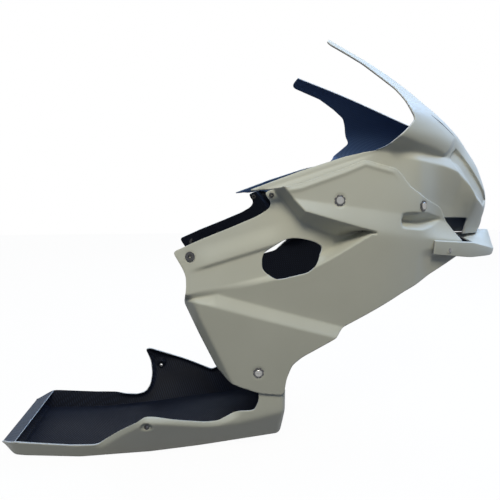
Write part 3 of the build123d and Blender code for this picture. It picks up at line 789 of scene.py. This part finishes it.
CHIN_LOW = [(636, 366), (652, 364), (766, 350), (864, 347), (905, 352)]
CHIN_TOP = [(636, 396), (769, 385), (874, 362), (905, 360)]
CHIN_LIP = [(780, 396), (840, 399), (868, 406), (902, 406)]
CHIN_FOREMOST = 902.0
CHIN_REAR = 642.0
CHIN_BLUNT = 110.0
CHIN_ROLL = 3.0
CHIN_RIVET = (690.0, 372.0)
CHIN_RIVET_SEAT = (6.5, 0.6)
TIP_CROWD = 0.3
LIP_FADE = (772.0, 808.0)
LIP_BACK = 9.0
LIP_BACK_FADE = (840.0, 902.0)
LIP_IN = 5.0
LIP_MIDDLE = 9.0
LIP_UP = 2.0
CHIN_ROWS = 241
WING_COLUMNS = 25
LIP_COLUMNS = 24


def chin_wing(x):
    """Half-width of the chin at its crease: a parabola in plan."""
    return np.sqrt(CHIN_BLUNT * np.maximum(0.0, CHIN_FOREMOST - x))


# The wing rises from its lower edge to the crease, and from there the lip turns in to the intake.
cs, ct = grid(np.linspace(-1.0, 1.0, CHIN_ROWS), np.linspace(0.0, 1.0, WING_COLUMNS))
reach = np.abs(cs)
wing_x = CHIN_FOREMOST - (CHIN_FOREMOST - CHIN_REAR) * (1.0 + TIP_CROWD) * reach ** 2 / (reach + TIP_CROWD)
wing_low = along(CHIN_LOW, wing_x, 8.0)
wing_z = wing_low + (along(CHIN_TOP, wing_x, 8.0) - wing_low) * ct
wing_y = chin_wing(wing_x) - CHIN_ROLL * (1.0 - ct) ** 2
wing_y = seated(wing_y, wing_x, wing_z, lambda x, z: chin_wing(x), CHIN_RIVET, CHIN_RIVET_SEAT)
lip_share = fade(wing_x[:, :1], LIP_FADE)
lip_t = np.linspace(0.04, 1.0, LIP_COLUMNS)[None, :]
edge_x, edge_y, edge_z = wing_x[:, -1:], wing_y[:, -1:], wing_z[:, -1:]
goal_x = edge_x - LIP_BACK * fade(edge_x, LIP_BACK_FADE)
goal_y = edge_y - LIP_IN - (edge_y - LIP_MIDDLE) * lip_share
goal_z = edge_z + LIP_UP + (along(CHIN_LIP, goal_x, 10.0) - edge_z) * lip_share
lip_x = edge_x + (goal_x - edge_x) * lip_t
lip_y = edge_y + (goal_y - edge_y) * lip_t
lip_z = edge_z + (goal_z - edge_z) * np.sin(lip_t * np.pi / 2)
cx = np.concatenate([wing_x, lip_x], axis=1)
cy = np.sign(cs[:, :1]) * np.concatenate([wing_y, lip_y], axis=1)
cz = np.concatenate([wing_z, lip_z], axis=1)
skin("chin", cx, cy, cz, "intake_chin")

# Fasteners and eyes: plated steel studs, washers, plates, rivets and sleeves, with rubber grommets.
# They stay as the CAD shapes and only take their finish here.
# The air duct behind the intake, a grey laminate, is finished in the same way.


def metal(name, dark, light, rough):
    """Brushed or plated metal: very fine noise varies its tone and its gloss."""
    made, tree, bsdf = material(name)
    grain = noise(tree, Scale=900.0, Detail=4.0)
    fill(tree, bsdf, Base_Color=mixed(tree, grain, dark, light),
         Roughness=spread(tree, grain, rough - 0.08, rough + 0.1), Metallic=1.0)
    return made


steel = metal("zinc_plate", (0.13, 0.13, 0.14, 1.0), (0.30, 0.30, 0.31, 1.0), 0.34)
petal = metal("washer_steel", (0.045, 0.045, 0.05, 1.0), (0.15, 0.15, 0.155, 1.0), 0.38)
bright = metal("turned_steel", (0.28, 0.28, 0.275, 1.0), (0.44, 0.44, 0.43, 1.0), 0.30)
darkened = metal("blackened_steel", (0.03, 0.03, 0.032, 1.0), (0.08, 0.08, 0.085, 1.0), 0.45)
rubber = speckled("rubber", (0.045, 0.045, 0.053, 1.0), (0.085, 0.085, 0.098, 1.0), 0.7, 160.0)
grey = laminate("grey_laminate", (0.22, 0.23, 0.24, 1.0), (0.42, 0.43, 0.44, 1.0))
for name, finish in [("quarter_turn_studs", bright), ("rosette_washers", petal), ("receptacles", steel),
                     ("receptacle_rivets", steel), ("rear_sleeves", darkened), ("tab_sleeves", darkened),
                     ("belly_bushes", darkened), ("chin_rivets", steel), ("rear_grommets", rubber),
                     ("tab_grommets", rubber), ("intake_duct", grey)]:
    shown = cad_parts[name].data
    shown.materials.clear()
    shown.materials.append(finish)

# Studio: a floor of white paper just under the pan, and a bluish sky that is brightest overhead.
# Three softboxes light the fairing: a blue one in front, a warm one on its right, a cool one on its left.

WHITE_LIGHT = (1.0, 1.0, 1.0, 1.0)
PAPER_DARK = (0.055, 0.055, 0.055, 1.0)
PAPER_PALE = (0.075, 0.075, 0.075, 1.0)
PAPER_SEEN = (0.95, 0.95, 0.95, 1.0)
PAPER_GLOW = 0.97
FLOOR_REACH = 6.0
FLOOR_BELOW = 0.002


def seen_directly(tree):
    """Factor that is 1 for camera, glossy and transmission rays and 0 for scattered light."""
    path = tree.nodes.new("ShaderNodeLightPath").outputs
    shiny = maths(tree, "MAXIMUM", path["Is Glossy Ray"], path["Is Transmission Ray"])
    return maths(tree, "MAXIMUM", path["Is Camera Ray"], shiny)


def shown_as(tree, factor, scattered, direct, output):
    """Plugs a blend of two shaders by a factor into the tree's output."""
    blend = tree.nodes.new("ShaderNodeMixShader")
    for socket, value in zip(blend.inputs, (factor, scattered.outputs[0], direct.outputs[0])):
        plug(tree, socket, value)
    tree.links.new(blend.outputs[0], tree.nodes[output].inputs["Surface"])


floor_mesh = bpy.data.meshes.new("floor")
floor_z = min(first_bounds[0][2], first_bounds[1][2]) - FLOOR_BELOW
corners = [(-FLOOR_REACH, -FLOOR_REACH, floor_z), (FLOOR_REACH, -FLOOR_REACH, floor_z),
           (FLOOR_REACH, FLOOR_REACH, floor_z), (-FLOOR_REACH, FLOOR_REACH, floor_z)]
floor_mesh.from_pydata(corners, [], [(0, 1, 2, 3)])
ground = bpy.data.objects.new("floor", floor_mesh)
bpy.context.scene.collection.objects.link(ground)
paper, paper_tree, paper_bsdf = material("paper")
paper_seen = seen_directly(paper_tree)
paper_dim = mixed(paper_tree, noise(paper_tree, Scale=3.0), PAPER_DARK, PAPER_PALE)
fill(paper_tree, paper_bsdf, Base_Color=mixed(paper_tree, paper_seen, paper_dim, PAPER_SEEN), Roughness=0.9)
paper_glow = node(paper_tree, "ShaderNodeEmission", Color=WHITE_LIGHT, Strength=1.0)
paper_share = maths(paper_tree, "MULTIPLY", paper_seen, PAPER_GLOW)
shown_as(paper_tree, paper_share, paper_bsdf, paper_glow, "Material Output")
floor_mesh.materials.append(paper)

world = bpy.data.worlds.new("studio")
bpy.context.scene.world = world
world.use_nodes = True
sky = world.node_tree
sky_light = sky.nodes["Background"]
sky_way = sky.nodes.new("ShaderNodeTexCoord").outputs["Generated"]
sky_up = node(sky, "ShaderNodeSeparateXYZ", Vector=sky_way).outputs["Z"]
tint_share = spread(sky, sky_up, 0.0, 1.0, (0.0, 0.9))
sky_tint = mixed(sky, tint_share, (0.68, 0.82, 1.0, 1.0), (0.50, 0.74, 1.0, 1.0))
fill(sky, sky_light, Color=sky_tint, Strength=spread(sky, sky_up, 0.05, 0.5, (0.2, 0.95)))
sky_white = node(sky, "ShaderNodeBackground", Color=WHITE_LIGHT, Strength=1.0)
shown_as(sky, seen_directly(sky), sky_light, sky_white, "World Output")


def softbox(name, place, aim, size, power, colour):
    """Rectangular lamp at a place, turned towards the point that it lights."""
    lamp = bpy.data.lights.new(name, "AREA")
    lamp.shape = "RECTANGLE"
    lamp.size, lamp.size_y = size
    lamp.energy = power
    lamp.color = colour
    made = bpy.data.objects.new(name, lamp)
    made.location = place
    turn = np.array(aim) - np.array(place)
    flat = math.hypot(turn[0], turn[1])
    made.rotation_euler = (math.atan2(flat, -turn[2]), 0.0, math.atan2(turn[1], turn[0]) - math.pi / 2)
    bpy.context.scene.collection.objects.link(made)


softbox("front", (2.2, 0.25, 2.5), (0.6, 0.0, 0.6), (1.6, 1.6), 62.0, (0.31, 0.55, 1.0))
softbox("side", (0.1, -2.0, 2.6), (0.3, 0.0, 0.35), (1.2, 1.0), 49.0, (1.0, 0.94, 0.73))
softbox("far", (0.2, 1.9, 2.3), (0.3, 0.0, 0.35), (1.4, 1.2), 26.0, (0.72, 0.86, 1.0))

# Camera: it stands a metre to the right of the fairing's middle plane, a little above half its height.
# Its place and turn were fitted to the outline of the fairing in the photograph.

CAMERA_PLACE = (0.122, -1.000, 0.489)
CAMERA_DOWN = 7.266
CAMERA_TURN = -7.068
view = bpy.context.scene.view_settings
view.view_transform = "Standard"
lens = bpy.data.cameras.new("camera")
lens.lens = 28.8
lens.sensor_width = 36.0
eye = bpy.data.objects.new("camera", lens)
eye.location = CAMERA_PLACE
eye.rotation_euler = (math.radians(90.0 - CAMERA_DOWN), 0.0, math.radians(CAMERA_TURN))
bpy.context.scene.collection.objects.link(eye)
bpy.context.scene.camera = eye
